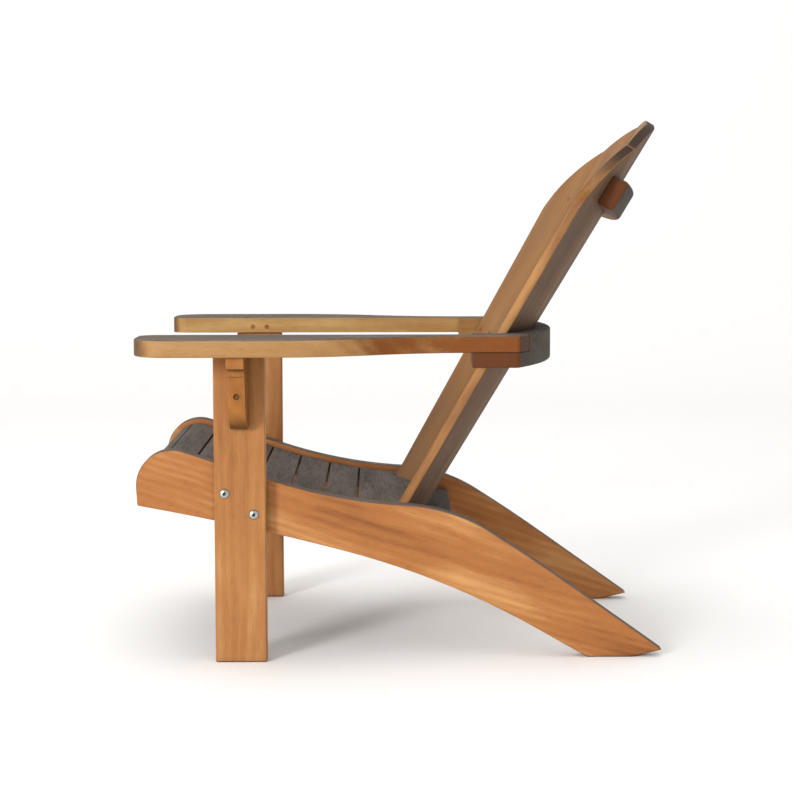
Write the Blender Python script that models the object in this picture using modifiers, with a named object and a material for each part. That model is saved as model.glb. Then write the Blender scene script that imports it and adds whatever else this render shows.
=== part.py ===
"""A fixed adirondack chair in solid hardwood.

Two long curved stringers carry the seat and reach the floor at the back. Two
front legs are bolted to them and hold up the arms. The fan of back slats
stands in a curved rail at the seat, a curved rail that ties the arms together,
and a top rail. Metres, +Z up, the chair faces -Y, and +X is the sitter's left.
"""
import math

import bmesh
import bpy
from mathutils import Matrix, Vector

# Stock and fits
BOARD = 0.030                  # thickness of stringers, legs, arms and rails
SEAT_SLAT = 0.018              # thickness of the seat slats
BACK_SLAT = 0.018              # thickness of the back slats
TOUCH = 0.0003                 # gap between two pieces that touch
EASED = 0.002                  # chamfer along the edges of a board
SLAT_EASED = 0.0015            # the same along a slat
SMOOTH = 0.0001                # how far a facet may leave its true curve
CURVE_STEPS = 12               # facets along an ogee or the top of a slat
ROUND_SIDES = 24               # facets round a bolt, a hole or a plug
HEX = 6

# Stringers, in side view: y runs rearwards from the nose, z up from the floor
SEAT_WIDTH = 0.470             # clear width between the stringers
NOSE_RADIUS = 0.064
NOSE_HEIGHT = 0.306            # height of the centre of the nose
NOSE_CHIN = 0.032              # upright run below the nose
CHIN_LEAN = 3.0                # lean of that run, degrees
SEAT_PITCH = 18.4              # fall of the front half of the seat, degrees
SEAT_RUN = 0.155               # straight run behind the nose
SEAT_HOLLOW_RADIUS = 0.950
SEAT_HOLLOW_TURN = 15.1
HIP_RADIUS = 0.3065            # hump where the seat turns down into the tail
HIP_TURN = 29.2
TAIL_RADIUS = 3.20
TAIL_TURN = 3.0
TAIL_TIP = 0.0125              # height of the pointed tip above the floor
FOOT_CUT = 0.055               # length of the slanted cut behind the foot
BELLY_START = 10.3             # fall of the underside at the nose, degrees
BELLY_CURVES = ((4.57, 4.7), (1.43, 10.5), (1.38, 4.4))     # radius, turn

# Seat
SEAT_INSET = 0.010             # seat surface below the top of the stringers
SLAT_WIDTH = 0.0560
SLAT_GAP = 0.0032
NOSE_SLAT_WIDTH = 0.0395
NOSE_SLATS = 2
SEAT_SLATS = 6
LAST_SLAT_LENGTH = 0.112       # the wide slat that is cut round the back
CLEAT_DEPTH = 0.020
CLEAT_WIDTH = 0.020
CLEAT_END_GAP = 0.006

# Legs and bolts
LEG_WIDTH = 0.090
LEG_FRONT = 0.140
ARM_UNDERSIDE = 0.545
BOLT_DIAMETER = 0.008
BOLT_HOLE = 0.009
BOLT_HEAD = 0.017
BOLT_HEAD_HEIGHT = 0.0045
HEAD_CROWN = 0.8               # 1 is an ellipse, less is fuller
HEAD_STEPS = 4
SOCKET_WIDTH = 0.005
SOCKET_DEPTH = 0.0025
WASHER_DIAMETER = 0.017
WASHER = 0.0016
NUT_WIDTH = 0.013
NUT_HEIGHT = 0.0065
UPPER_BOLT = (0.158, 0.300)    # y and z, through leg, stringer and cleat
LOWER_BOLT = (0.209, 0.263)    # y and z, below the cleat

# Arms and their brackets
ARM_INNER = 0.257              # half the clear width between the arms
ARM_FRONT = 0.010
ARM_WIDTH = 0.140
ARM_TAIL_WIDTH = 0.040
ARM_SWEEP_START = 0.240
ARM_SWEEP_LENGTH = 0.360
ARM_INNER_CORNER = 0.030
ARM_OUTER_CORNER = 0.060
ARM_TAIL_CORNER = 0.011
BRACKET_DEPTH = 0.089
BRACKET_HEIGHT = 0.131
BRACKET_FASCIA = 0.020
BRACKET_COVE = 0.015
BRACKET_STEP = 0.008
BRACKET_TOE = 0.004
PLUG_DIAMETER = 0.010
PLUG_DEPTH = 0.008
BRACKET_PLUG_DROP = 0.070      # below the underside of the arm

# Back: u runs up the slats, w forwards out of them, from the centre line.
# Each setback is measured from the front edge of the last seat slat.
BACK_RECLINE = 31.0            # degrees from upright
BACK_SETBACK = 0.1436          # to the rear of the middle slat, at the rise below
BACK_RISE = 0.0359             # of that point above the top of the lower rail
BACK_SLATS = 5
BACK_RADIUS = 0.420            # hollow of the back at that height
BACK_HALF_WIDTH = 0.195
BACK_SHOULDER = 0.575          # up the slats to the start of the arch
BACK_SHOULDER_HALF_WIDTH = 0.265
BACK_ARCH = 0.221              # rise of the arch
BACK_ARCH_POWER = 1.7          # 2 is an ellipse, less is more pointed
BACK_SLAT_BELOW = 0.090
BACK_CUT_BELOW = 0.160         # how far the shaping of the rails runs down
BACK_CUT_REACH = 0.250         # and how far before or behind the slats
BACK_SLAT_GAP = 0.0036
BACK_SIDE_GAP = 0.002
SEAT_TO_BACK_GAP = 0.003

# Rails across the back
LOWER_RAIL_SETBACK = 0.0612
LOWER_RAIL_DEPTH = 0.113
ARM_RAIL_SETBACK = 0.1992
ARM_RAIL_DEPTH = 0.159         # at the middle
ARM_RAIL_SIDE_DEPTH = 0.082    # at the outer corners
ARM_RAIL_LAP = 0.026           # depth of the rail under the arms
ARM_RAIL_CORNER = 0.018
TOP_RAIL_U = 0.636
TOP_RAIL_HEIGHT = 0.058
TOP_RAIL_HALF_WIDTH = 0.210
TOP_RAIL_ROUND = 0.007
TOP_RAIL_STEPS = 3

STRINGER_X = SEAT_WIDTH / 2 + BOARD / 2
LEG_X = SEAT_WIDTH / 2 + BOARD + TOUCH + BOARD / 2
LEG_FACE = LEG_X + BOARD / 2
LEG_Y = LEG_FRONT + LEG_WIDTH / 2
ARM_Z = ARM_UNDERSIDE + TOUCH + BOARD / 2
ARM_TAIL_X = ARM_INNER + ARM_TAIL_WIDTH
CLEAT_TOP = SEAT_INSET + SEAT_SLAT + TOUCH
CLEAT_X = SEAT_WIDTH / 2 - TOUCH - CLEAT_WIDTH / 2
CLEAT_FACE = CLEAT_X - CLEAT_WIDTH / 2
RECLINE = math.radians(BACK_RECLINE)
BACK_TOP = BACK_SHOULDER + BACK_ARCH
SIDES = (("left", 1), ("right", -1))


def fine_step(radius):
    """The widest angle whose chord stays close enough to an arc."""
    return 2 * math.acos(1 - SMOOTH / radius)


class EdgeLine:
    """A line walked from a start point through straight runs and arcs."""

    def __init__(self, start, heading):
        self.start = Vector(start)
        self.heading = math.radians(heading)
        self.runs = []

    def straight(self, length):
        self.runs.append((length, 0.0))
        return self

    def arc(self, radius, turn):
        """Turn by so many degrees, positive to the left, on an arc."""
        angle = math.radians(turn)
        self.runs.append((radius * abs(angle), angle))
        return self

    def straight_to_height(self, height):
        end, heading = self.at(self.length())
        return self.straight((height - end.y) / math.sin(heading))

    def length(self):
        return sum(length for length, _ in self.runs)

    def at(self, distance):
        """The point and the heading so far along the line."""
        point = self.start.copy()
        heading = self.heading
        for length, angle in self.runs:
            part = min(distance, length) / length
            turned = angle * part
            chord = length * part
            if turned:
                radius = length / angle
                chord = 2 * radius * math.sin(turned / 2)
            middle = heading + turned / 2
            point += chord * Vector((math.cos(middle), math.sin(middle)))
            heading += turned
            distance -= length
            if distance <= 0:
                break
        return point, heading

    def inside(self, distance, depth):
        """The point at a depth to the right of the line."""
        point, heading = self.at(distance)
        return point + depth * Vector((math.sin(heading), -math.cos(heading)))

    def distance_at(self, across):
        """How far along the line its first coordinate reaches a value."""
        low = 0.0
        high = self.length()
        for _ in range(50):
            middle = (low + high) / 2
            if self.at(middle)[0].x < across:
                low = middle
            else:
                high = middle
        return low

    def points(self, start=0.0, end=None, depth=0.0):
        """Points between two distances, close enough on every arc."""
        end = self.length() if end is None else end
        stops = [start]
        begin = 0.0
        for length, angle in self.runs:
            count = 1
            if angle:
                count = math.ceil(abs(angle) / fine_step(length / abs(angle)))
            for number in range(1, count + 1):
                stop = begin + length * number / count
                if start + TOUCH < stop < end - TOUCH:
                    stops.append(stop)
            begin += length
        stops.append(end)
        return [self.inside(stop, depth) for stop in stops]


def arc_points(centre, radius, first, last):
    """Points on a circle between two angles in radians."""
    count = max(1, math.ceil(abs(last - first) / fine_step(radius)))
    angles = [first + (last - first) * number / count for number in range(count + 1)]
    return [Vector((centre[0] + radius * math.cos(a), centre[1] + radius * math.sin(a)))
            for a in angles]


def round_corner(before, corner, after, radius):
    """An arc that rounds the corner between two straight edges."""
    corner = Vector(corner)
    towards = (Vector(before) - corner).normalized()
    away = (Vector(after) - corner).normalized()
    half = math.acos(towards.dot(away)) / 2
    centre = corner + (towards + away).normalized() * radius / math.sin(half)
    first = corner + towards * radius / math.tan(half) - centre
    last = corner + away * radius / math.tan(half) - centre
    begin = math.atan2(first.y, first.x)
    sweep = (math.atan2(last.y, last.x) - begin + math.pi) % math.tau - math.pi
    return arc_points(centre, radius, begin, begin + sweep)


def collection(name):
    made = bpy.data.collections.new(name)
    bpy.context.scene.collection.children.link(made)
    return made


def finish_material(name, colour, roughness, metallic):
    material = bpy.data.materials.new(name)
    material.use_nodes = True
    shader = material.node_tree.nodes["Principled BSDF"]
    shader.inputs["Base Color"].default_value = (*colour, 1.0)
    shader.inputs["Roughness"].default_value = roughness
    shader.inputs["Metallic"].default_value = metallic
    return material


def add_piece(name, mesh, place, finish):
    """Put a piece in the chair, with a material of its own."""
    piece = bpy.data.objects.new(name, mesh)
    piece.matrix_world = place
    piece.parent = chair_front
    chair.objects.link(piece)
    mesh.materials.append(finish_material(name + "_finish", *finish))
    return piece


def add_cutter(name, mesh, place):
    cutter = bpy.data.objects.new(name, mesh)
    cutter.matrix_world = place
    cutter.parent = chair_front
    cutter.hide_render = True
    cutter.display_type = "WIRE"
    cutters.objects.link(cutter)
    return cutter


def outline_mesh(name, outline, thickness):
    """The closed mesh of a flat outline, with its thickness about its plane."""
    curve = bpy.data.curves.new(name, "CURVE")
    curve.dimensions = "2D"
    curve.fill_mode = "BOTH"
    curve.extrude = thickness / 2
    spline = curve.splines.new("POLY")
    spline.points.add(len(outline) - 1)
    for point, (across, along) in zip(spline.points, outline):
        point.co = (across, along, 0.0, 1.0)
    spline.use_cyclic_u = True
    sketch = bpy.data.objects.new(name + "_sketch", curve)
    cutters.objects.link(sketch)
    depsgraph = bpy.context.evaluated_depsgraph_get()
    mesh = bpy.data.meshes.new_from_object(sketch.evaluated_get(depsgraph))
    bpy.data.objects.remove(sketch)
    bpy.data.curves.remove(curve)
    mesh.name = name
    work = bmesh.new()
    work.from_mesh(mesh)
    bmesh.ops.remove_doubles(work, verts=work.verts, dist=0.00001)
    bmesh.ops.dissolve_limit(work, angle_limit=0.0005, verts=work.verts, edges=work.edges)
    bmesh.ops.recalc_face_normals(work, faces=work.faces)
    work.to_mesh(mesh)
    work.free()
    return mesh


def box_mesh(name, size):
    mesh = bpy.data.meshes.new(name)
    work = bmesh.new()
    bmesh.ops.create_cube(work, size=1.0)
    bmesh.ops.scale(work, vec=size, verts=work.verts)
    work.to_mesh(mesh)
    work.free()
    return mesh


def rod_mesh(name, diameter, length, sides=ROUND_SIDES):
    """A straight rod, or a hexagon measured across its corners, along local Z."""
    mesh = bpy.data.meshes.new(name)
    work = bmesh.new()
    bmesh.ops.create_cone(work, cap_ends=True, segments=sides, radius1=diameter / 2,
                          radius2=diameter / 2, depth=length)
    work.to_mesh(mesh)
    work.free()
    return mesh


def turned_mesh(name, profile, closed=False):
    """An open or closed profile for a Screw modifier, in local X and Z."""
    mesh = bpy.data.meshes.new(name)
    edges = [(number, number + 1) for number in range(len(profile) - 1)]
    if closed:
        edges.append((len(profile) - 1, 0))
    mesh.from_pydata([(radius, 0.0, height) for radius, height in profile], edges, [])
    return mesh


def turn(piece):
    screw = piece.modifiers.new("Turned", "SCREW")
    screw.axis = "Z"
    screw.steps = ROUND_SIDES
    screw.render_steps = ROUND_SIDES
    screw.use_merge_vertices = True
    screw.merge_threshold = 0.00001
    screw.use_smooth_shade = True


def ease_edges(piece, width=EASED, segments=1):
    bevel = piece.modifiers.new("Eased edges", "BEVEL")
    bevel.width = width
    bevel.segments = segments
    bevel.limit_method = "ANGLE"
    bevel.angle_limit = math.radians(40)


def cut(piece, cutter):
    boolean = piece.modifiers.new("Cut by " + cutter.name, "BOOLEAN")
    boolean.operation = "DIFFERENCE"
    boolean.solver = "EXACT"
    boolean.object = cutter


def at(x, y, z, rotation=Matrix.Identity(4)):
    return Matrix.Translation((x, y, z)) @ rotation


def axes(across, along, out, origin):
    """A placing whose local X, Y and Z point the three ways given."""
    turned = Matrix((across, along, out)).transposed().to_4x4()
    return Matrix.Translation(origin) @ turned


SIDE_VIEW = axes((0, 1, 0), (0, 0, 1), (1, 0, 0), (0, 0, 0))
FRONT_VIEW = axes((1, 0, 0), (0, 0, 1), (0, -1, 0), (0, 0, 0))


def facing(side):
    """Turns local Z to point out of the chair on that side."""
    return Matrix.Rotation(side * math.pi / 2, 4, "Y")


def mirrored(outline, side):
    """An outline drawn for the left side, for either side."""
    if side > 0:
        return outline
    return [(-point[0], point[1]) for point in reversed(outline)]


# Seat line: the top edge of the stringers, from the chin to the tip of the tail

def make_seat_line():
    chin = math.radians(CHIN_LEAN)
    start = (NOSE_CHIN * math.sin(chin), NOSE_HEIGHT - NOSE_CHIN * math.cos(chin))
    line = EdgeLine(start, 90 + CHIN_LEAN)
    line.straight(NOSE_CHIN)
    line.arc(NOSE_RADIUS, -(90 + CHIN_LEAN + SEAT_PITCH))
    line.straight(SEAT_RUN)
    line.arc(SEAT_HOLLOW_RADIUS, SEAT_HOLLOW_TURN)
    line.arc(HIP_RADIUS, -HIP_TURN)
    line.arc(TAIL_RADIUS, -TAIL_TURN)
    return line.straight_to_height(TAIL_TIP)


def stringer_outline():
    top = seat_line.points()
    tip = top[-1]
    heel = (tip.x - FOOT_CUT, 0.0)
    belly = EdgeLine(seat_line.start, -BELLY_START)
    for radius, turn_angle in BELLY_CURVES:
        belly.arc(radius, -turn_angle)
    belly.straight_to_height(0.0)
    return list(reversed(top + [heel] + belly.points()[:0:-1]))


def make_stringers():
    for side_name, side in SIDES:
        mesh = outline_mesh("stringer_" + side_name, stringer_outline(), BOARD)
        piece = add_piece("stringer_" + side_name, mesh, at(side * STRINGER_X, 0, 0, SIDE_VIEW), WOOD)
        ease_edges(piece)
        for cutter in bolt_holes[side_name]:
            cut(piece, cutter)


# Seat

def seat_slat_ends():
    """Where each slat starts and ends along the seat line, nose slats first."""
    ends = []
    start = NOSE_CHIN + SLAT_GAP
    for width in [NOSE_SLAT_WIDTH] * NOSE_SLATS + [SLAT_WIDTH] * SEAT_SLATS + [LAST_SLAT_LENGTH]:
        ends.append((start, start + width))
        start += width + SLAT_GAP
    return ends


def strip_outline(start, end, top, bottom):
    """The layer between two depths under the seat line."""
    surface = seat_line.points(start, end, top)
    under = seat_line.points(start, end, bottom)
    return under + surface[::-1]


def make_seat_strip(name, start, end):
    outline = strip_outline(start, end, SEAT_INSET, SEAT_INSET + SEAT_SLAT)
    mesh = outline_mesh(name, outline, SEAT_WIDTH - 2 * TOUCH)
    piece = add_piece(name, mesh, SIDE_VIEW, WEATHERED)
    ease_edges(piece, SLAT_EASED)
    return piece


def make_seat():
    make_seat_strip("front_apron", TOUCH, NOSE_CHIN)
    ends = seat_slat_ends()
    for number, (start, end) in enumerate(ends, 1):
        piece = make_seat_strip(f"seat_slat_{number:02d}", start, end)
    cut(piece, behind_seat)


def make_cleats():
    end = seat_line.distance_at(lower_rail_y - CLEAT_END_GAP)
    outline = strip_outline(TOUCH, end, CLEAT_TOP, CLEAT_TOP + CLEAT_DEPTH)
    for side_name, side in SIDES:
        mesh = outline_mesh("seat_cleat_" + side_name, outline, CLEAT_WIDTH)
        piece = add_piece("seat_cleat_" + side_name, mesh, at(side * CLEAT_X, 0, 0, SIDE_VIEW), WOOD)
        cut(piece, bolt_holes[side_name][0])


# Legs and bolts

def make_bolt_holes():
    holes = {}
    reach = 3 * BOARD
    for side_name, side in SIDES:
        holes[side_name] = []
        for which, (y, z) in (("upper", UPPER_BOLT), ("lower", LOWER_BOLT)):
            name = f"hole_{which}_{side_name}"
            mesh = rod_mesh(name, BOLT_HOLE, 2 * reach)
            holes[side_name].append(add_cutter(name, mesh, at(side * STRINGER_X, y, z, facing(side))))
    return holes


def make_legs():
    height = ARM_UNDERSIDE
    for side_name, side in SIDES:
        mesh = box_mesh("front_leg_" + side_name, (BOARD, LEG_WIDTH, height))
        piece = add_piece("front_leg_" + side_name, mesh, at(side * LEG_X, LEG_Y, height / 2), WOOD)
        ease_edges(piece)
        for cutter in bolt_holes[side_name]:
            cut(piece, cutter)


def bolt_profile(length):
    """Button head over a plain shank, from the crown to the end."""
    crown = [(0.0, BOLT_HEAD_HEIGHT)]
    for number in range(1, HEAD_STEPS):
        angle = math.pi / 2 * number / HEAD_STEPS
        height = BOLT_HEAD_HEIGHT * math.cos(angle) ** HEAD_CROWN
        crown.append((BOLT_HEAD / 2 * math.sin(angle), height))
    crown.append((BOLT_HEAD / 2, 0.0))
    return crown + [(BOLT_DIAMETER / 2, 0.0), (BOLT_DIAMETER / 2, -length), (0.0, -length)]


def make_bolt(name, side, y, z, inner_face):
    """A bolt from the face of the leg to a washer and a nut on an inner face."""
    length = LEG_FACE + TOUCH - inner_face + 2 * TOUCH + WASHER + NUT_HEIGHT + BOLT_DIAMETER / 4
    out = facing(side)
    bolt = add_piece("bolt_" + name, turned_mesh("bolt_" + name, bolt_profile(length)),
                     at(side * (LEG_FACE + TOUCH), y, z, out), STEEL)
    turn(bolt)
    socket = rod_mesh("socket_" + name, SOCKET_WIDTH / math.cos(math.pi / HEX), 2 * SOCKET_DEPTH, HEX)
    socket_x = side * (LEG_FACE + TOUCH + BOLT_HEAD_HEIGHT)
    cut(bolt, add_cutter("socket_" + name, socket, at(socket_x, y, z, out)))

    hole = BOLT_DIAMETER / 2 + TOUCH
    rim = WASHER_DIAMETER / 2
    ring = [(hole, WASHER / 2), (rim, WASHER / 2), (rim, -WASHER / 2), (hole, -WASHER / 2)]
    washer_x = inner_face - TOUCH - WASHER / 2
    washer = add_piece("washer_" + name, turned_mesh("washer_" + name, ring, closed=True),
                       at(side * washer_x, y, z, out), STEEL)
    turn(washer)

    nut_x = washer_x - WASHER / 2 - TOUCH - NUT_HEIGHT / 2
    nut_mesh = rod_mesh("nut_" + name, NUT_WIDTH / math.cos(math.pi / HEX), NUT_HEIGHT, HEX)
    nut = add_piece("nut_" + name, nut_mesh, at(side * nut_x, y, z, out), STEEL)
    bore = rod_mesh("nut_bore_" + name, 2 * hole, 2 * NUT_HEIGHT)
    cut(nut, add_cutter("nut_bore_" + name, bore, at(side * nut_x, y, z, out)))


def make_bolts():
    for side_name, side in SIDES:
        make_bolt("upper_" + side_name, side, *UPPER_BOLT, CLEAT_FACE)
        make_bolt("lower_" + side_name, side, *LOWER_BOLT, SEAT_WIDTH / 2)


# Arms

def arm_rail_rear(x):
    """The rear edge of the arm rail, which the tails of the arms share."""
    radius, centre = arm_rail_circle()
    return centre + math.sqrt(radius ** 2 - x ** 2)


def arm_rail_circle():
    """Radius and centre of the arc through the rear and both side corners."""
    rise = ARM_RAIL_DEPTH - ARM_RAIL_SIDE_DEPTH
    radius = (ARM_TAIL_X ** 2 + rise ** 2) / (2 * rise)
    return radius, arm_rail_y + ARM_RAIL_DEPTH - radius


def arm_rail_arc(first_x, last_x):
    radius, centre = arm_rail_circle()
    first = math.acos(first_x / radius)
    last = math.acos(last_x / radius)
    return arc_points((0.0, centre), radius, first, last)


def tail_corner():
    """The rounded outer corner where an arm's side meets the rear arc."""
    corner = (ARM_TAIL_X, arm_rail_y + ARM_RAIL_SIDE_DEPTH)
    along = ARM_TAIL_X - ARM_RAIL_CORNER
    return round_corner((ARM_TAIL_X, arm_rail_y), corner, (along, arm_rail_rear(along)),
                        ARM_TAIL_CORNER)


def arm_outline():
    """The left arm from above: a wide front that sweeps in to a narrow tail."""
    half_turn = math.atan2((ARM_WIDTH - ARM_TAIL_WIDTH) / 2, ARM_SWEEP_LENGTH / 2)
    sweep = math.degrees(2 * half_turn)
    radius = ARM_SWEEP_LENGTH / 2 / math.sin(2 * half_turn)
    edge = EdgeLine((ARM_INNER, ARM_FRONT + ARM_INNER_CORNER), -90)
    edge.arc(ARM_INNER_CORNER, 90)
    edge.straight(ARM_WIDTH - ARM_INNER_CORNER - ARM_OUTER_CORNER)
    edge.arc(ARM_OUTER_CORNER, 90)
    edge.straight(ARM_SWEEP_START - ARM_FRONT - ARM_OUTER_CORNER)
    edge.arc(radius, sweep)
    edge.arc(radius, -sweep)
    rear = arm_rail_arc(ARM_TAIL_X - ARM_RAIL_CORNER, ARM_INNER)
    return edge.points() + tail_corner() + rear


def make_arms():
    hole_z = ARM_Z + BOARD / 2 - PLUG_DEPTH / 2
    for side_name, side in SIDES:
        mesh = outline_mesh("arm_" + side_name, mirrored(arm_outline(), side), BOARD)
        arm = add_piece("arm_" + side_name, mesh, at(0, 0, ARM_Z), WEATHERED)
        ease_edges(arm)
        for which, step in (("front", -1), ("rear", 1)):
            name = f"{which}_{side_name}"
            y = LEG_Y + step * LEG_WIDTH / 4
            hole = rod_mesh("arm_hole_" + name, PLUG_DIAMETER, PLUG_DEPTH + 2 * TOUCH)
            cut(arm, add_cutter("arm_hole_" + name, hole, at(side * LEG_X, y, hole_z)))
            plug = rod_mesh("arm_plug_" + name, PLUG_DIAMETER - 2 * TOUCH, PLUG_DEPTH - TOUCH)
            add_piece("arm_plug_" + name, plug, at(side * LEG_X, y, hole_z), WOOD)


def bracket_outline():
    """The left bracket from the front: fascia, cove and a long ogee toe."""
    root = LEG_FACE + TOUCH
    lip = root + BRACKET_DEPTH
    under_fascia = ARM_UNDERSIDE - BRACKET_FASCIA
    cove_x = lip - BRACKET_STEP
    belly_top = under_fascia - BRACKET_COVE
    toe_x = root + BRACKET_TOE
    belly_depth = cove_x - BRACKET_COVE - BRACKET_TOE - toe_x
    belly_height = BRACKET_HEIGHT - BRACKET_FASCIA - BRACKET_COVE
    cove = arc_points((cove_x, belly_top), BRACKET_COVE, math.pi / 2, math.pi)
    belly = []
    for number in range(CURVE_STEPS + 1):
        angle = math.pi / 2 * number / CURVE_STEPS
        belly.append(Vector((toe_x + belly_depth * math.cos(angle),
                             belly_top - belly_height * math.sin(angle))))
    top = [(root, ARM_UNDERSIDE), (lip, ARM_UNDERSIDE), (lip, under_fascia)]
    return top + cove + belly + [(root, ARM_UNDERSIDE - BRACKET_HEIGHT)]


def bracket_face(drop):
    """How far out the ogee lies at a distance below the arm."""
    belly_height = BRACKET_HEIGHT - BRACKET_FASCIA - BRACKET_COVE
    belly_depth = BRACKET_DEPTH - BRACKET_STEP - BRACKET_COVE - 2 * BRACKET_TOE
    fall = (drop - BRACKET_FASCIA - BRACKET_COVE) / belly_height
    return LEG_FACE + TOUCH + BRACKET_TOE + belly_depth * math.sqrt(1 - fall ** 2)


def make_brackets():
    face = bracket_face(BRACKET_PLUG_DROP)
    plug_z = ARM_UNDERSIDE - BRACKET_PLUG_DROP
    for side_name, side in SIDES:
        name = "arm_bracket_" + side_name
        outline = mirrored(bracket_outline()[::-1], side)
        mesh = outline_mesh(name, outline, BOARD)
        bracket = add_piece(name, mesh, at(0, LEG_Y, 0, FRONT_VIEW), WOOD)
        hole = rod_mesh("hole_" + name, PLUG_DIAMETER, 2 * PLUG_DEPTH)
        cut(bracket, add_cutter("hole_" + name, hole, at(side * face, LEG_Y, plug_z, facing(side))))
        plug = rod_mesh("bracket_plug_" + side_name, PLUG_DIAMETER - 2 * TOUCH, PLUG_DEPTH / 2)
        plug_x = face - PLUG_DEPTH + TOUCH + PLUG_DEPTH / 4
        add_piece("bracket_plug_" + side_name, plug, at(side * plug_x, LEG_Y, plug_z, facing(side)), WOOD)


# Back

def back_scale(u):
    """How much wider the fan is at a distance up the slats."""
    return 1 + (BACK_SHOULDER_HALF_WIDTH / BACK_HALF_WIDTH - 1) * u / BACK_SHOULDER


def back_angle(number):
    """The angle round the hollow of the line between two slats."""
    half = math.asin(BACK_HALF_WIDTH / BACK_RADIUS)
    return half * (2 * number / BACK_SLATS - 1)


def back_edge(number, u, forward=0.0):
    """The line between two slats, moved forwards by so much, as x and w."""
    angle = back_angle(number)
    radius = BACK_RADIUS * back_scale(u)
    mitre = forward / math.cos(back_angle(BACK_SLATS) / BACK_SLATS)
    return Vector(((radius - mitre) * math.sin(angle), radius - (radius - mitre) * math.cos(angle)))


def back_point(x, w, u):
    """A point given across, forwards and up the back, in the chair."""
    y = back_y + u * math.sin(RECLINE) - w * math.cos(RECLINE)
    z = lower_rail_top + BACK_RISE + u * math.cos(RECLINE) + w * math.sin(RECLINE)
    return Vector((x, y, z))


def rear_of_back():
    """How far back the eased rear edge of the tallest slat reaches."""
    _, w = back_edge(BACK_SLATS // 2, BACK_TOP)
    return back_point(0, w, BACK_TOP - SLAT_EASED).y


def arch_height(x_of):
    """Where the line x_of(u) meets the arch, up the slats."""
    u = BACK_SHOULDER
    for _ in range(CURVE_STEPS):
        part = min(1.0, abs(x_of(u)) / BACK_SHOULDER_HALF_WIDTH)
        u = BACK_SHOULDER + BACK_ARCH * (1 - part ** BACK_ARCH_POWER) ** (1 / BACK_ARCH_POWER)
    return u


def make_back_slat(number):
    def on_slat(part, u):
        return back_edge(number, u).lerp(back_edge(number + 1, u), part)

    low_left = back_point(*on_slat(0, 0), 0)
    low_right = back_point(*on_slat(1, 0), 0)
    origin = (low_left + low_right) / 2
    across = (low_right - low_left).normalized()
    out = across.cross(back_point(*on_slat(0.5, 1), 1) - origin).normalized()
    along = out.cross(across)

    def flat(part, u, inwards):
        offset = back_point(*on_slat(part, u), u) - origin
        return (offset.dot(across) + inwards, offset.dot(along))

    half_gap = BACK_SLAT_GAP / 2
    outline = [flat(0, -BACK_SLAT_BELOW, half_gap), flat(1, -BACK_SLAT_BELOW, -half_gap)]
    for step in range(CURVE_STEPS, -1, -1):
        part = step / CURVE_STEPS
        top = arch_height(lambda u: on_slat(part, u).x)
        outline.append(flat(part, top, half_gap * (1 - 2 * part)))
    name = f"back_slat_{number + 1}"
    place = axes(across, along, out, origin + out * BACK_SLAT / 2)
    piece = add_piece(name, outline_mesh(name, outline, BACK_SLAT), place, WOOD)
    ease_edges(piece, SLAT_EASED)


def make_back_cutter(name, forward, reach):
    """The space in front of the back, or with a negative reach behind it."""
    work = bmesh.new()
    rings = []
    for u in (-BACK_CUT_BELOW, BACK_TOP):
        chain = [back_edge(number, u, forward) for number in range(BACK_SLATS + 1)]
        side = back_edge(BACK_SLATS, u).x + BACK_SIDE_GAP
        for end, inner in ((0, 1), (-1, -2)):
            slope = chain[end] - chain[inner]
            chain[end] += slope * (side - abs(chain[end].x)) / abs(slope.x)
        chain.append(chain[-1] + Vector((0, reach)))
        chain.append(chain[0] + Vector((0, reach)))
        rings.append([work.verts.new(back_point(x, w, u)) for x, w in chain])
    count = len(rings[0])
    for number in range(count):
        after = (number + 1) % count
        work.faces.new((rings[0][number], rings[0][after], rings[1][after], rings[1][number]))
    work.faces.new(rings[0])
    work.faces.new(rings[1])
    bmesh.ops.recalc_face_normals(work, faces=work.faces)
    mesh = bpy.data.meshes.new(name)
    work.to_mesh(mesh)
    work.free()
    return add_cutter(name, mesh, Matrix.Identity(4))


# Rails

def make_lower_rail():
    """Under the last seat slat, between the stringers, hollow to the back."""
    mesh = box_mesh("lower_back_rail", (SEAT_WIDTH - 2 * TOUCH, LOWER_RAIL_DEPTH, BOARD))
    place = at(0, lower_rail_y + LOWER_RAIL_DEPTH / 2, lower_rail_top - BOARD / 2)
    rail = add_piece("lower_back_rail", mesh, place, WEATHERED)
    ease_edges(rail)
    cut(rail, before_back)


def make_arm_rail():
    """Ties the arms behind the back: a thick curved rail, lapped under each arm."""
    left = [(ARM_TAIL_X, arm_rail_y)] + tail_corner()
    rear = arm_rail_arc(ARM_TAIL_X - ARM_RAIL_CORNER, -(ARM_TAIL_X - ARM_RAIL_CORNER))
    right = mirrored(left, -1)
    bottom = ARM_UNDERSIDE - ARM_RAIL_LAP
    top = ARM_Z + BOARD / 2
    mesh = outline_mesh("arm_rail", left + rear + right, top - bottom)
    rail = add_piece("arm_rail", mesh, at(0, 0, (top + bottom) / 2), WEATHERED)
    ease_edges(rail)
    cut(rail, before_back)
    lap = (ARM_WIDTH, ARM_RAIL_DEPTH, 2 * BOARD)
    lap_y = arm_rail_y + ARM_RAIL_DEPTH / 2 - EASED
    for side_name, side in SIDES:
        name = "arm_lap_" + side_name
        lap_x = side * (ARM_INNER - TOUCH + ARM_WIDTH / 2)
        cut(rail, add_cutter(name, box_mesh(name, lap), at(lap_x, lap_y, ARM_UNDERSIDE + BOARD)))


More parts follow.
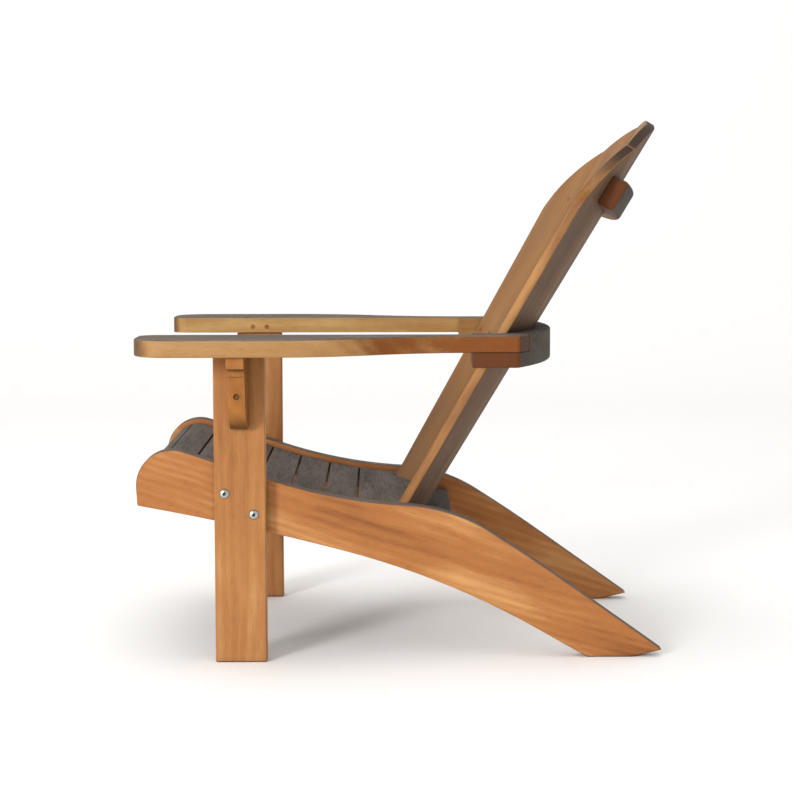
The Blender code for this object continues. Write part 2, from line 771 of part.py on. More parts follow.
def make_top_rail():
    """A curved rail across the slats, below the arch."""
    radius = BACK_RADIUS * back_scale(TOP_RAIL_U)
    outer = radius + BOARD
    inner = radius - BOARD / 2
    half = math.asin(TOP_RAIL_HALF_WIDTH / outer)
    down = -math.pi / 2
    outline = arc_points((0, radius), outer, down - half, down + half)
    outline += arc_points((0, radius), inner, down + half, down - half)
    mesh = outline_mesh("top_back_rail", outline, TOP_RAIL_HEIGHT)
    forward = Vector((0, -math.cos(RECLINE), math.sin(RECLINE)))
    across = Vector((1, 0, 0))
    place = axes(across, forward, across.cross(forward), back_point(0, 0, TOP_RAIL_U))
    rail = add_piece("top_back_rail", mesh, place, WOOD)
    ease_edges(rail, TOP_RAIL_ROUND, TOP_RAIL_STEPS)
    cut(rail, before_back)


for old in list(bpy.data.objects):
    bpy.data.objects.remove(old)

WOOD = ((0.56, 0.27, 0.10), 0.55, 0.0)
WEATHERED = ((0.13, 0.11, 0.095), 0.75, 0.0)
STEEL = ((0.75, 0.76, 0.78), 0.35, 1.0)

seat_line = make_seat_line()
last_slat_start = seat_slat_ends()[-1][0]
last_slat_y = seat_line.at(last_slat_start)[0].x
lower_rail_y = last_slat_y + LOWER_RAIL_SETBACK
arm_rail_y = last_slat_y + ARM_RAIL_SETBACK
back_y = last_slat_y + BACK_SETBACK
lower_rail_rear = seat_line.distance_at(lower_rail_y + LOWER_RAIL_DEPTH)
lower_rail_top = seat_line.inside(lower_rail_rear, SEAT_INSET + SEAT_SLAT).y - TOUCH

chair = collection("adirondack_chair")
cutters = collection("cutters")
chair_front = bpy.data.objects.new("chair_front", None)
chair_front.location.y = -rear_of_back() / 2
chair.objects.link(chair_front)

bolt_holes = make_bolt_holes()
before_back = make_back_cutter("before_back", -TOUCH, BACK_CUT_REACH)
behind_seat = make_back_cutter("behind_seat", BACK_SLAT + SEAT_TO_BACK_GAP, -BACK_CUT_REACH)

make_stringers()
make_cleats()
make_seat()
make_legs()
make_bolts()
make_arms()
make_brackets()
for slat in range(BACK_SLATS):
    make_back_slat(slat)
make_lower_rail()
make_arm_rail()
make_top_rail()
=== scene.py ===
"""How a fixed adirondack chair looks: oiled hardwood, grey on top from weathering and painted
sheen.

Every board keeps the place and outline that it has in the frame. Its edges are
rounded, its grain runs along the board, and its fasteners are made in full.
"""
import math
import random

import bmesh
import bpy
from mathutils import Matrix, Vector
from mathutils.bvhtree import BVHTree


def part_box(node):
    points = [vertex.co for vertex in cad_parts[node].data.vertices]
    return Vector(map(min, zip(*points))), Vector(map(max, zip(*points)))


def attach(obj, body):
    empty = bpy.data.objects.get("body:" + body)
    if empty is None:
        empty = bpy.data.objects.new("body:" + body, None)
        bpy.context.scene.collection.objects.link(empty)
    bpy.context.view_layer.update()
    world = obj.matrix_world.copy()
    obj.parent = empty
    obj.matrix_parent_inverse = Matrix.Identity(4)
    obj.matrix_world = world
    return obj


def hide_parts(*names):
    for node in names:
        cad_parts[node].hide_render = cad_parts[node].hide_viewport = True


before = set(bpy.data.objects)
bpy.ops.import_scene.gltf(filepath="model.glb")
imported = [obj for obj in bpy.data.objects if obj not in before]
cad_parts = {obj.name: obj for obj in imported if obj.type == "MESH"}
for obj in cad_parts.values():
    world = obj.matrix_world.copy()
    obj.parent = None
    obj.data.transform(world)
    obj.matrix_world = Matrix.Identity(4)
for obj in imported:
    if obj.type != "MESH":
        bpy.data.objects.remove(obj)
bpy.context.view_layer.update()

BACK_SLATS = 5
SEAT_SLATS = 9
SIDES = (("left", 1), ("right", -1))

EDGE_ROUND = 0.0011        # rounding on top of each board's chamfer
EDGE_CORNER = 32           # degrees; a sharper bend than this is an edge

PLUG_WIDTH = 0.0095        # wooden plugs over the screws
PLUG_PROUD = 0.0002
PLUG_DEPTH = 0.0030
PLUG_EASE = 0.0004
NOSE_CENTRE = (0.064, 0.306)         # behind the stringer's front, and above the ground
SEAT_PLUG_SHARES = (0.27, 0.73)      # across a regular slat
LAST_SLAT_PLUG = 0.022               # behind the last slat's front edge
ARM_EDGE_PLUGS = (-0.298, -0.270)    # along the arm
ARM_EDGE_PLUG_HEIGHT = 0.557
ARM_TAIL_PLUGS = (0.018, 0.060)      # behind the rail's front edge
ARM_TAIL_PLUG_INSET = 0.020
BACK_PLUG_STEP = 0.019               # each side of a slat's middle
TOP_OUTER_PLUG = 0.188               # from the chair's middle

HEAD_HEIGHT = 0.0045       # button-head bolts
SHANK = 0.0040
SOCKET_DEPTH = 0.0025
SOCKET_FLAT = 0.0025
SOCKET_MOUTH = 0.0032
HEAD_STEPS = 10
THREAD_LENGTH = 0.016
THREAD_PITCH = 0.00125
THREAD_DEPTH = 0.0006
BORE = 0.0043              # washers and nuts
WASHER_EASE = 0.0003
NUT_FLAT = 0.0065
ROUND_SIDES = 48

UP = Vector((0, 0, 1))
BACK = Vector((0, 1, 0))
ACROSS = Vector((1, 0, 0))
DOWN_THE_SEAT = Vector((0, 0.955, -0.296))

chooser = random.Random(11)


def linear(red, green, blue):
    """A colour given as 0 to 255 on a screen, as the light that it gives back."""
    def channel(value):
        value /= 255
        return value / 12.92 if value <= 0.04045 else ((value + 0.055) / 1.055) ** 2.4
    return (channel(red), channel(green), channel(blue), 1.0)


# Materials

class Value:
    """A number or a vector in a material, with ordinary arithmetic."""

    def __init__(self, finish, socket):
        self.finish = finish
        self.socket = socket

    def _with(self, operation, *others):
        return self.finish.node("ShaderNodeMath", {"operation": operation},
                                dict(enumerate((self, *others))))

    def __add__(self, other):
        return self._with("ADD", other)

    def __radd__(self, other):
        return self + other

    def __sub__(self, other):
        return self._with("SUBTRACT", other)

    def __rsub__(self, other):
        return self * -1 + other

    def __mul__(self, other):
        return self._with("MULTIPLY", other)

    def __rmul__(self, other):
        return self * other

    def __abs__(self):
        return self._with("ABSOLUTE")

    def power(self, other):
        return self._with("POWER", other)

    def sine(self):
        return self._with("SINE")

    def between(self, low, high):
        """0 below low, 1 above high, and smooth from one to the other."""
        return self.finish.node("ShaderNodeMapRange", {"interpolation_type": "SMOOTHSTEP"},
                                {0: self, 1: low, 2: high, 3: 0.0, 4: 1.0})

    def parts(self):
        return [self.finish.node("ShaderNodeSeparateXYZ", {}, {0: self}, axis) for axis in range(3)]

    def _with_vector(self, operation, other, output=0):
        return self.finish.node("ShaderNodeVectorMath", {"operation": operation},
                                {0: self, 1: other}, output)

    def stretched(self, factors):
        return self._with_vector("MULTIPLY", factors)

    def moved(self, offset):
        return self._with_vector("ADD", offset)

    def along(self, direction):
        return self._with_vector("DOT_PRODUCT", direction, 1)

    def at_most(self, limit):
        return self._with("MINIMUM", limit)


class Finish:
    """A material that is put together from nodes."""

    def __init__(self, name):
        self.material = bpy.data.materials.new(name)
        self.material.use_nodes = True
        self.nodes = self.material.node_tree.nodes
        self.shader = self.nodes["Principled BSDF"]

    def feed(self, socket, value):
        if isinstance(value, Value):
            self.material.node_tree.links.new(value.socket, socket)
        else:
            socket.default_value = value

    def node(self, kind, settings, values, output=0):
        made = self.nodes.new(kind)
        for key, value in settings.items():
            setattr(made, key, value)
        for key, value in values.items():
            self.feed(made.inputs[key], value)
        return Value(self, made.outputs[output])

    def noise(self, place, scale, detail=3.0, roughness=0.5):
        return self.node("ShaderNodeTexNoise", {}, {"Vector": place, "Scale": scale,
                                                    "Detail": detail, "Roughness": roughness})

    def mix(self, factor, first, second):
        return self.node("ShaderNodeMix", {"data_type": "RGBA"},
                         {0: factor, 6: first, 7: second}, 2)

    def stored(self, name):
        """A vector that every point of the mesh carries."""
        return self.node("ShaderNodeAttribute", {"attribute_name": name}, {}, 1)

    def openness(self, reach):
        """1 where nothing stands near the surface, and less in a corner."""
        return self.node("ShaderNodeAmbientOcclusion", {"samples": 6}, {"Distance": reach}, 1)

    def vector(self, x, y, z):
        return self.node("ShaderNodeCombineXYZ", {}, {0: x, 1: y, 2: z})

    def bump(self, height, distance, strength):
        return self.node("ShaderNodeBump", {},
                         {"Height": height, "Distance": distance, "Strength": strength})

    def set(self, **values):
        for name, value in values.items():
            self.feed(self.shader.inputs[name.replace("_", " ")], value)
        return self.material


PORE_BROWN = linear(70, 40, 20)
END_BROWN = linear(52, 32, 20)
# painted shade for the wide faces of a board
FACE_SHADE_BROWN = linear(98, 60, 28)
GREY_LOW = linear(46, 40, 36)
GREY_HIGH = linear(112, 105, 97)
GREY_PORE = linear(26, 22, 19)
GREY_SHADED = linear(44, 41, 34)
# dark brown for dirt and painted shade in corners
GRIME_AND_SHADE = linear(34, 22, 14)


def board_finish(name, dark, middle, light, grey_all=0.0, top_grey_and_sheen=1.0, shade_behind=0.0,
                 grey_end=0.65, end_dark=0.75, face_shade=0.0, rough=0.50, tail_shade=0.0):
    """Hardwood with its grain along the board, from three browns, how far each face has weathered,
    and painted shade and sheen on some faces.
    """
    finish = Finish(name)
    chance = finish.node("ShaderNodeObjectInfo", {}, {}, 5)
    board = finish.stored("board_place")
    spot = board.moved(finish.vector(chance * 17.3, chance * 5.9, chance * 9.1))
    facing = finish.node("ShaderNodeNewGeometry", {}, {}, 1)

    # long wandering bands of growth, wide where the saw ran along them
    wander = finish.noise(spot.stretched((1.3, 6.0, 6.0)), 1.0, 2.0) - 0.5
    ripple = finish.noise(spot.stretched((8.0, 30.0, 30.0)), 1.0, 2.0) - 0.5
    _, across, deep = spot.parts()
    growth = across * 0.8 + deep * 0.45 + wander * 0.060 + ripple * 0.007
    rings = (growth * 470.0).sine() * 0.5 + 0.5
    broad = (growth * 88.0).sine() * 0.5 + 0.5
    cloud = finish.noise(spot.stretched((3.6, 12.0, 12.0)), 1.0, 3.0, 0.55)
    fibre = finish.noise(spot.stretched((16.0, 460.0, 460.0)), 1.0, 3.0, 0.6)
    pores = finish.noise(spot.stretched((60.0, 1600.0, 1600.0)), 1.0, 2.0, 0.5).between(0.60, 0.74)
    tone = cloud * 1.20 - 0.10 + (broad - 0.5) * 0.16 + (rings - 0.5) * 0.10
    tone = tone + (fibre - 0.5) * 0.30 + (chance - 0.5) * 0.20
    if tail_shade:
        tone = tone - board.parts()[0].between(-0.02, 0.30) * tail_shade
    warm = finish.mix(tone.between(0.05, 0.55), dark, middle)
    warm = finish.mix(tone.between(0.50, 0.95), warm, light)
    warm = finish.mix(pores * 0.30, warm, PORE_BROWN)

    # end grain drinks more oil and goes dark, and the wide faces get painted shade, darker than the
    # edges
    end = abs(facing.along(finish.stored("grain"))).between(0.40, 0.90)
    speckle = finish.noise(spot.stretched((300.0, 300.0, 300.0)), 1.0, 3.0, 0.6)
    warm = finish.mix(end * (speckle * 0.4 + 0.8) * end_dark, warm, END_BROWN)
    wide_face = abs(facing.along(finish.stored("face"))).between(0.4, 0.9)
    warm = finish.mix(wide_face * face_shade * (cloud * 0.8 + 0.6), warm, FACE_SHADE_BROWN)

    # sun and weather turn the upper faces grey in patches, and some boards all over; the grey on
    # upward faces is partly painted sheen, and rear faces get painted shade
    up = facing.parts()[2]
    patch = finish.noise(spot.stretched((5.0, 26.0, 26.0)), 1.0, 4.0, 0.6)
    rain_and_sheen = (up + (patch - 0.5) * 0.50).between(0.40, 0.78)
    # painted shade: faces turned away from a board's front go darker and greyer
    behind = (facing.along(finish.stored("face")) * -1).between(0.3, 0.8)
    weather_and_light_grey = rain_and_sheen * top_grey_and_sheen + behind * shade_behind + (patch * 0.5 + 0.75) * grey_all
    weather_and_light_grey = (weather_and_light_grey * (1 - end * (1 - grey_end))).at_most(1.0)
    streak = (fibre * 0.70 + patch * 0.55 - 0.12).between(0.15, 0.85)
    grey = finish.mix(streak, GREY_LOW, GREY_HIGH)
    grey = finish.mix(pores * 0.5, grey, GREY_PORE)
    # painted shade: the rear faces turn a darker grey
    grey = finish.mix(behind * 0.38, grey, GREY_SHADED)
    colour = finish.mix(weather_and_light_grey * 0.93, warm, grey)

    # dirt and painted shade where two boards meet: an occlusion mask darkens the corners
    grime_and_shade = (1 - finish.openness(0.018)).between(0.25, 0.85)
    colour = finish.mix(grime_and_shade * 0.70, colour, GRIME_AND_SHADE)

    depth = (fibre - 0.5) * 0.55 + (rings - 0.5) * 0.20 - pores * 0.9 + (speckle - 0.5) * end
    depth = depth * (weather_and_light_grey * 1.6 + 0.7)
    shine = rough + (fibre - 0.5) * 0.22 + weather_and_light_grey * 0.26 + end * 0.10 + pores * 0.1
    finish.set(Base_Color=colour, Roughness=shine, Normal=finish.bump(depth, 0.00045, 0.75),
               Specular_IOR_Level=0.22)
    return finish.material


def steel_finish(name):
    """Bright fasteners, brushed round their axis, tarnished in corners and darker inside the
    socket.
    """
    finish = Finish(name)
    place = finish.stored("board_place")
    x, y, _ = place.parts()
    radius = (x * x + y * y).power(0.5)
    turning = finish.noise(finish.vector(radius * 9000.0, 0.0, 0.0), 1.0, 2.0)
    stain = finish.noise(place, 420.0, 4.0, 0.6)
    # the hex socket is coloured dark
    socket = 1 - radius.between(0.0029, 0.0033)
    dull = stain.between(0.42, 0.78) * 0.35 + (1 - finish.openness(0.004)).between(0.3, 0.9) * 0.6
    dull = (dull + socket * 0.92).at_most(1.0)
    colour = finish.mix(dull, linear(176, 180, 176), linear(44, 44, 40))
    finish.set(Base_Color=colour, Metallic=1 - dull * 0.35,
               Roughness=turning * 0.18 + dull * 0.3 + 0.16,
               Normal=finish.bump(turning + stain * 0.5, 0.00006, 0.5))
    return finish.material


def floor_finish(name):
    """Pale painted studio floor with a fine roller texture."""
    finish = Finish(name)
    place = finish.node("ShaderNodeTexCoord", {}, {}, 3)
    roller = finish.noise(place, 900.0, 3.0, 0.6)
    drift = finish.noise(place, 1.3, 2.0)
    colour = finish.mix(drift * 0.4 + roller * 0.2, linear(250, 249, 247), linear(246, 245, 244))
    finish.set(Base_Color=colour, Roughness=0.72 + roller * 0.12,
               Normal=finish.bump(roller, 0.0002, 0.3))
    return finish.material


# Boards

def placing(origin, grain, face):
    """A place with local X along the grain and local Z out of the face."""
    x = grain.normalized()
    z = (face - face.dot(x) * x).normalized()
    return Matrix.Translation(origin) @ Matrix((x, z.cross(x), z)).transposed().to_4x4()


def show(name, mesh, place, finish, slot_name, *stands_for, rounding=0.0):
    """Put a finished piece on the chair, in place of the frame's own solids."""
    mesh.shade_smooth()
    mesh.materials.append(finish)
    piece = bpy.data.objects.new(name, mesh)
    bpy.context.scene.collection.objects.link(piece)
    if rounding:
        round_edges(piece, rounding)
    store_grain(piece.data, place)
    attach(piece, "root")
    if stands_for:
        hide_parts(*stands_for)
    return piece


def round_edges(piece, width):
    """Round every edge of the board, and keep its wide faces flat."""
    rounding = piece.modifiers.new("Rounded edges", "BEVEL")
    rounding.width = width
    rounding.segments = 2
    rounding.limit_method = "ANGLE"
    rounding.angle_limit = math.radians(EDGE_CORNER)
    flat = piece.modifiers.new("Flat faces", "WEIGHTED_NORMAL")
    flat.weight = 90
    flat.keep_sharp = True
    depsgraph = bpy.context.evaluated_depsgraph_get()
    rounded = bpy.data.meshes.new_from_object(piece.evaluated_get(depsgraph), depsgraph=depsgraph)
    piece.modifiers.clear()
    piece.data = rounded


def store_grain(mesh, place):
    """Keep each point's place in its own board, and the board's two directions."""
    back = place.inverted()
    turned = place.to_3x3()
    kept = {"board_place": lambda spot: back @ spot,
            "grain": lambda spot: turned.col[0],
            "face": lambda spot: turned.col[2]}
    for name, of_point in kept.items():
        layer = mesh.attributes.new(name, "FLOAT_VECTOR", "POINT")
        for item, vert in zip(layer.data, mesh.vertices):
            item.vector = of_point(vert.co)


def middle_of(node):
    """The middle of a node's box."""
    low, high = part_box(node)
    return (low + high) / 2


def clean_body(node):
    """The node's solid with each flat face whole again."""
    work = bmesh.new()
    work.from_mesh(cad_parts[node].data)
    bmesh.ops.remove_doubles(work, verts=work.verts, dist=0.000002)
    bmesh.ops.dissolve_limit(work, angle_limit=0.004, verts=work.verts, edges=work.edges)
    return work


def centre_line(node):
    """The middle of a slat's lower end, and the way that its long edges run."""
    work = clean_body(node)
    longest = max(edge.calc_length() for edge in work.edges)
    along = Vector()
    ends = []
    for edge in work.edges:
        if edge.calc_length() > longest / 2:
            lower, upper = sorted((vert.co.copy() for vert in edge.verts), key=lambda spot: spot.z)
            along += (upper - lower).normalized()
            ends.append(lower)
    work.free()
    return sum(ends, Vector()) / len(ends), along.normalized()


def make_board(node, grain, face, finish, slot_name):
    """A board with rounded edges, whose grain follows its own length."""
    work = clean_body(node)
    mesh = bpy.data.meshes.new(node + "_board")
    work.to_mesh(mesh)
    work.free()
    place = placing(middle_of(node), grain, face)
    show(node + "_board", mesh, place, finish, slot_name, node, rounding=EDGE_ROUND)


# Turned pieces

def round_at(radius):
    return lambda angle: radius


def hexagon_at(flat):
    """The radius of a hexagon, given from its centre to each flat."""
    sixth = math.pi / 3
    return lambda angle: flat / math.cos(angle % sixth - sixth / 2)


def ring_mesh(name, rings, closed=False):
    """A skin over rings, each given as a height and a radius for every angle."""
    mesh = bpy.data.meshes.new(name)
    work = bmesh.new()
    skin = []
    for height, radius in rings:
        ring = []
        for number in range(ROUND_SIDES):
            angle = math.tau * number / ROUND_SIDES
            reach = radius(angle)
            ring.append(work.verts.new((reach * math.cos(angle), reach * math.sin(angle), height)))
        skin.append(ring)
    pairs = list(zip(skin, skin[1:]))
    if closed:
        pairs.append((skin[-1], skin[0]))
    else:
        work.faces.new(skin[0])
        work.faces.new(skin[-1])
    for lower, upper in pairs:
        for number in range(ROUND_SIDES):
            after = (number + 1) % ROUND_SIDES
            work.faces.new((lower[number], lower[after], upper[after], upper[number]))
    bmesh.ops.recalc_face_normals(work, faces=work.faces)
    work.to_mesh(mesh)
    work.free()
    return mesh


def sharpen(piece, degrees):
    """Keep the corners of a turned piece crisp."""
    piece.data.set_sharp_from_angle(angle=math.radians(degrees))


def make_plug(name, spot, out, grain, slot_name, finish, *stands_for):
    """A domed wooden plug, glued over a screw and sanded almost flush."""
    radius = PLUG_WIDTH / 2
    ease = PLUG_EASE
    mesh = ring_mesh(name, [(-PLUG_DEPTH, round_at(radius - ease)),
                            (-PLUG_DEPTH + ease, round_at(radius)),
                            (PLUG_PROUD - ease, round_at(radius)),
                            (PLUG_PROUD - ease / 4, round_at(radius - ease / 3)),
                            (PLUG_PROUD, round_at(radius - ease)),
                            (PLUG_PROUD + ease / 8, round_at(radius / 2))])
    place = placing(spot, grain, out)
    mesh.transform(place)
    sharpen(show(name, mesh, place, finish, slot_name, *stands_for), 50)


def place_steel(node, mesh, place):
    """Put a fastener on its axis, in place of the node's plain one."""
    mesh.transform(place)
    sharpen(show(node + "_steel", mesh, place, steel, "bolt_steel", node), 35)


def make_bolt(node, side):
    """A button-head bolt with a hexagon socket, a plain shank and a threaded end."""
    low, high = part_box(node)
    head_radius = (high.y - low.y) / 2
    length = high.x - low.x - HEAD_HEIGHT
    rings = [(HEAD_HEIGHT - SOCKET_DEPTH - 0.0007, round_at(0.0001)),
             (HEAD_HEIGHT - SOCKET_DEPTH, hexagon_at(SOCKET_FLAT)),
             (HEAD_HEIGHT - 0.0005, hexagon_at(SOCKET_FLAT)),
             (HEAD_HEIGHT - 0.0002, round_at(SOCKET_MOUTH))]
    first = math.asin((SOCKET_MOUTH + 0.0004) / head_radius)
    for number in range(HEAD_STEPS):
        angle = first + (math.pi / 2 - first) * number / HEAD_STEPS
        rings.append((HEAD_HEIGHT * math.cos(angle) ** 0.8 * 0.99,
                      round_at(head_radius * math.sin(angle))))
    height = THREAD_LENGTH - length
    rings += [(0.0006, round_at(head_radius)), (0.0001, round_at(head_radius - 0.0003)),
              (0.0, round_at(head_radius - 0.0006)), (0.0, round_at(SHANK)),
              (height, round_at(SHANK))]
    root = SHANK - THREAD_DEPTH
    while height - THREAD_PITCH > 0.0012 - length:
        for share, radius in ((0.25, root), (0.5, root), (0.9, SHANK), (1, SHANK)):
            rings.append((height - THREAD_PITCH * share, round_at(radius)))
        height -= THREAD_PITCH
    rings.append((-length, round_at(SHANK - 0.0009)))
    out = ACROSS * side
    head_x = side * (max(abs(low.x), abs(high.x)) - HEAD_HEIGHT)
    spot = Vector((head_x, (low.y + high.y) / 2, (low.z + high.z) / 2))
    tilt = Matrix.Rotation(chooser.uniform(0, math.tau), 4, "Z")
    place_steel(node, ring_mesh(node + "_steel", rings), placing(spot, BACK, out) @ tilt)


def make_washer(node, side):
    """A flat washer with its rim eased."""
    low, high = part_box(node)
    rim = (high.y - low.y) / 2
    half = (high.x - low.x) / 2
    ease = WASHER_EASE
    rings = [(-half, round_at(BORE)), (-half, round_at(rim - ease)), (-half + ease, round_at(rim)),
             (half - ease, round_at(rim)), (half, round_at(rim - ease)), (half, round_at(BORE))]
    mesh = ring_mesh(node + "_steel", rings, closed=True)
    place_steel(node, mesh, placing(middle_of(node), BACK, ACROSS * side))


def make_nut(node, side):
    """A hexagon nut with its corners turned off."""
    low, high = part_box(node)
    half = (high.x - low.x) / 2
    rings = [(-half + 0.0005, round_at(BORE)), (-half, round_at(BORE + 0.0005)),
             (-half, round_at(NUT_FLAT - 0.0004)), (-half + 0.0007, hexagon_at(NUT_FLAT)),
             (half - 0.0007, hexagon_at(NUT_FLAT)), (half, round_at(NUT_FLAT - 0.0004)),
             (half, round_at(BORE + 0.0005)), (half - 0.0005, round_at(BORE))]
    mesh = ring_mesh(node + "_steel", rings, closed=True)
    place_steel(node, mesh, placing(middle_of(node), BACK, ACROSS * side))


# Finishes, as the wood and the weather left them, with painted shade and sheen on some faces

side_wood = board_finish("oiled_side_boards", linear(108, 56, 24), linear(162, 103, 54),
                         linear(196, 144, 88))
leg_wood = board_finish("oiled_legs", linear(116, 64, 30), linear(160, 107, 58),
                        linear(190, 142, 92))
bracket_wood = board_finish("oiled_brackets", linear(84, 44, 14), linear(154, 98, 42),
                            linear(184, 130, 64))
back_wood = board_finish("oiled_back_slats", linear(112, 68, 28), linear(170, 120, 64),
                         linear(200, 152, 88), top_grey_and_sheen=0.45, shade_behind=0.62, grey_end=0.1,
                         end_dark=1.15, face_shade=0.55)
arm_wood = {
    "left": board_finish("oiled_arm_left", linear(116, 64, 16), linear(156, 116, 70),
                         linear(182, 146, 94), tail_shade=0.60),
    "right": board_finish("oiled_arm_right", linear(104, 64, 28), linear(156, 117, 66),
                          linear(182, 146, 90)),
}
seat_wood = board_finish("weathered_seat", linear(72, 50, 36), linear(100, 78, 62),
                         linear(122, 102, 86), grey_all=0.66, rough=0.62)
rail_wood = board_finish("weathered_rails", linear(84, 50, 28), linear(118, 78, 48),
                         linear(146, 104, 70), grey_all=0.55, rough=0.60)
round_rail_wood = board_finish("weathered_shaded_round_rails", linear(92, 48, 16), linear(150, 108, 60),
                               linear(180, 142, 88), shade_behind=1.0, grey_end=0.05,
                               end_dark=0.05, rough=0.58, tail_shade=1.0)
plug_wood = board_finish("plugs", linear(84, 44, 20), linear(132, 78, 40), linear(164, 108, 62),
                         rough=0.58)
steel = steel_finish("bright_steel")

# The boards

for side_name, side in SIDES:
    out = ACROSS * side
    make_board("stringer_" + side_name, DOWN_THE_SEAT, out, side_wood, "oiled_wood")
    make_board("seat_cleat_" + side_name, DOWN_THE_SEAT, out, rail_wood, "weathered_wood")
    make_board("front_leg_" + side_name, UP, out, leg_wood, "oiled_wood")
    make_board("arm_bracket_" + side_name, UP, BACK, bracket_wood, "oiled_wood")
    make_board("arm_" + side_name, BACK, UP, arm_wood[side_name], "weathered_wood")
    for which in ("upper", "lower"):
        name = which + "_" + side_name
        make_bolt("bolt_" + name, side)
        make_washer("washer_" + name, side)
        make_nut("nut_" + name, side)

make_board("front_apron", ACROSS, -BACK, seat_wood, "weathered_wood")
for number in range(1, SEAT_SLATS + 1):
    make_board(f"seat_slat_{number:02d}", ACROSS, UP, seat_wood, "weathered_wood")
make_board("lower_back_rail", ACROSS, UP, rail_wood, "weathered_wood")
make_board("arm_rail", ACROSS, -BACK, round_rail_wood, "weathered_wood")

_, middle_slat = centre_line("back_slat_3")
out_of_back = middle_slat.cross(ACROSS)
out_of_back *= -1 if out_of_back.y > 0 else 1
make_board("top_back_rail", ACROSS, out_of_back, round_rail_wood, "weathered_wood")
slat_lines = {}
for number in range(1, BACK_SLATS + 1):
    node = f"back_slat_{number}"
    foot, along = centre_line(node)
    slat_lines[node] = (foot, along)
    make_board(node, along, out_of_back, back_wood, "oiled_wood")


# Plugs over the screws

def surface(node, start, direction):
    """Where a line first meets a piece of the frame, and which way that face looks."""
    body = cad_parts[node].data
    tree = BVHTree.FromPolygons([vert.co for vert in body.vertices],
                                [tuple(polygon.vertices) for polygon in body.polygons])
    spot, normal, _, _ = tree.ray_cast(start, direction.normalized())
    return spot, normal


def plug_into(name, node, start, direction, grain, slot_name, finish):
    """A plug where a line from start first meets the node."""
    spot, normal = surface(node, start, direction)
    if spot is None:
        raise ValueError(name + " misses " + node)
    make_plug(name, spot, normal, grain, slot_name, finish)


for side_name, side in SIDES:
    cleat_x = middle_of("seat_cleat_" + side_name).x
    nose_low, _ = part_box("stringer_" + side_name)
    nose = Vector((cleat_x, nose_low.y + NOSE_CENTRE[0], NOSE_CENTRE[1]))
    for number in range(1, SEAT_SLATS + 1):
        node = f"seat_slat_{number:02d}"
        low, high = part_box(node)
        if number <= 2:
            centre = middle_of(node)
            centre.x = cleat_x
            out = (centre - nose).normalized()
            plug_into(f"seat_plug_{number:02d}_{side_name}", node, centre + out * 0.1, -out,
                      ACROSS, "weathered_wood", seat_wood)
            continue
        if number == SEAT_SLATS:
            spots = [low.y + LAST_SLAT_PLUG]
        else:
            spots = [low.y + (high.y - low.y) * share for share in SEAT_PLUG_SHARES]
        for which, y in zip("ab", spots):
            plug_into(f"seat_plug_{number:02d}{which}_{side_name}", node,
                      Vector((cleat_x, y, 0.6)), -UP, ACROSS, "weathered_wood", seat_wood)
    arm = "arm_" + side_name
    for which, y in zip("ab", ARM_EDGE_PLUGS):
        plug_into(f"arm_edge_plug_{which}_{side_name}", arm,
                  Vector((0, y, ARM_EDGE_PLUG_HEIGHT)), ACROSS * side,
                  BACK, "weathered_wood", plug_wood)
    rail_low, rail_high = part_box("arm_rail")
    tail_x = side * (rail_high.x - ARM_TAIL_PLUG_INSET)
    for which, step in zip("ab", ARM_TAIL_PLUGS):
        plug_into(f"arm_tail_plug_{which}_{side_name}", arm,
                  Vector((tail_x, rail_low.y + step, 0.8)), -UP,
                  BACK, "weathered_wood", arm_wood[side_name])
    for which in ("front", "rear"):
        node = f"arm_plug_{which}_{side_name}"
        spot = middle_of(node)
        spot.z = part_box(node)[1].z - PLUG_PROUD
        make_plug(node + "_domed", spot, UP, BACK, "oiled_wood", plug_wood, node)
    node = "bracket_plug_" + side_name
    low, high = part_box(node)
    spot = middle_of(node)
    spot.x = side * (max(abs(low.x), abs(high.x)) - 0.0003)
    make_plug(node + "_domed", spot, ACROSS * side, UP, "oiled_wood", plug_wood, node)

rails = {"lower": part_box("lower_back_rail")[1].z, "arm": middle_of("arm_rail").z,
         "top": middle_of("top_back_rail").z}
for number in range(1, BACK_SLATS + 1):
    node = f"back_slat_{number}"
    foot, along = slat_lines[node]
    across = along.cross(out_of_back).normalized()
    for rail, height in rails.items():
        base = foot + along * ((height - foot.z) / along.z)
        for which, step in (("a", -BACK_PLUG_STEP), ("b", BACK_PLUG_STEP)):
            if rail == "top" and number in (1, BACK_SLATS):
                if which == "b":
                    continue
                step = (math.copysign(TOP_OUTER_PLUG, base.x) - base.x) / across.x
            start = base + across * step + out_of_back * 0.2
            plug_into(f"back_plug_{rail}_{number}{which}", node, start, -out_of_back, along,
                      "oiled_wood", plug_wood)

# Studio

FLOOR_FRONT = 16.0
FLOOR_HALF = 16.0
WALL_FOOT = -4.0
WALL_BEND = 2.0
WALL_TOP = 7.0
BEND_STEPS = 16
AIR_LIGHT = 0.88
CAMERA_PLACE = (3.5363, -0.0375, 0.7934)
CAMERA_LENS = 85.245
CAMERA_PITCH = 5.688
CAMERA_YAW = 0.436
CAMERA_ROLL = -0.087


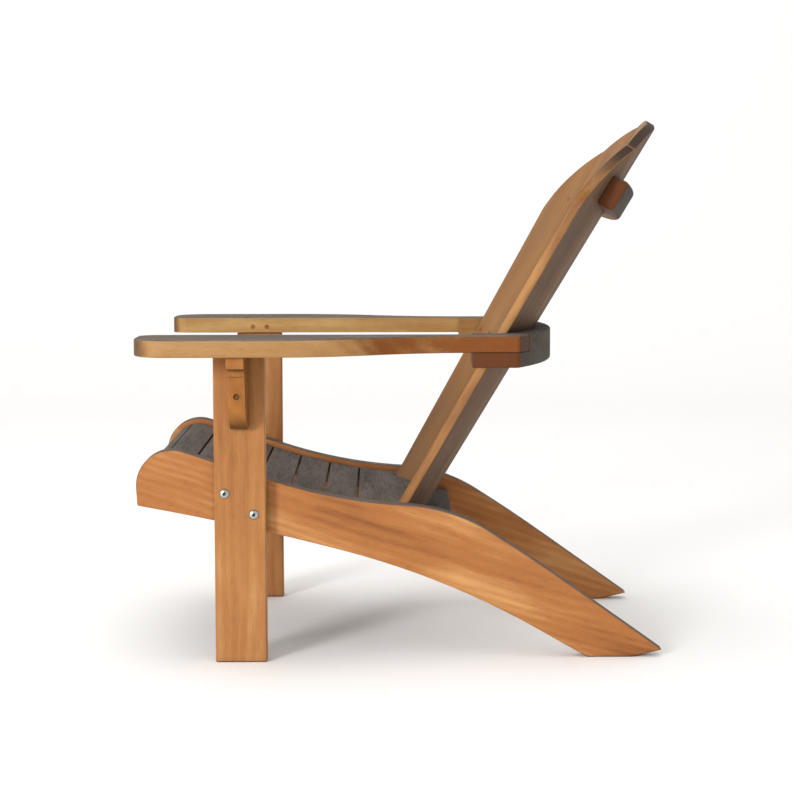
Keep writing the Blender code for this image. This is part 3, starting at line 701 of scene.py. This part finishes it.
def make_floor():
    """A pale floor that curves up into a pale wall."""
    profile = [(FLOOR_FRONT, 0.0)]
    for number in range(BEND_STEPS + 1):
        angle = math.pi / 2 * number / BEND_STEPS
        profile.append((WALL_FOOT - WALL_BEND * math.sin(angle),
                        WALL_BEND - WALL_BEND * math.cos(angle)))
    profile.append((WALL_FOOT - WALL_BEND, WALL_TOP))
    mesh = bpy.data.meshes.new("studio_floor")
    verts = [(x, y, z) for x, z in profile for y in (-FLOOR_HALF, FLOOR_HALF)]
    faces = [(2 * n, 2 * n + 1, 2 * n + 3, 2 * n + 2) for n in range(len(profile) - 1)]
    mesh.from_pydata(verts, [], faces)
    mesh.shade_smooth()
    mesh.materials.append(floor_finish("pale_floor"))
    floor = bpy.data.objects.new("studio_floor", mesh)
    bpy.context.scene.collection.objects.link(floor)


def soft_light(name, place, aim, size, watts):
    """A round soft light that looks at a point of the chair."""
    lamp = bpy.data.lights.new(name, "AREA")
    lamp.shape = "DISK"
    lamp.size = size
    lamp.energy = watts
    stand = bpy.data.objects.new(name, lamp)
    stand.location = place
    stand.rotation_euler = (Vector(aim) - Vector(place)).to_track_quat("-Z", "Y").to_euler()
    bpy.context.scene.collection.objects.link(stand)


def make_air():
    """Even white light from all round."""
    world = bpy.data.worlds.new("studio_air")
    world.use_nodes = True
    background = world.node_tree.nodes["Background"]
    background.inputs["Color"].default_value = (1.0, 1.0, 1.0, 1.0)
    background.inputs["Strength"].default_value = AIR_LIGHT
    bpy.context.scene.world = world


def make_camera():
    """A long lens beside the chair, a little above its arms."""
    lens = bpy.data.cameras.new("camera")
    lens.sensor_width = 36.0
    lens.lens = CAMERA_LENS
    camera = bpy.data.objects.new("camera", lens)
    pitch = math.radians(CAMERA_PITCH)
    yaw = math.radians(CAMERA_YAW)
    aim = Vector((-math.cos(yaw) * math.cos(pitch), math.sin(yaw) * math.cos(pitch),
                  -math.sin(pitch)))
    roll = Matrix.Rotation(math.radians(CAMERA_ROLL), 4, "Z")
    turn = aim.to_track_quat("-Z", "Y").to_matrix().to_4x4()
    camera.matrix_world = Matrix.Translation(CAMERA_PLACE) @ turn @ roll
    bpy.context.scene.collection.objects.link(camera)
    bpy.context.scene.camera = camera


make_floor()
soft_light("window_light", (4.9, -3.3, 1.9), (0, 0, 0.4), 1.5, 230)
soft_light("sky_light", (0.0, -0.5, 4.6), (0, 0, 0.3), 3.6, 40)
make_air()
make_camera()
bpy.context.scene.view_settings.view_transform = "Standard"
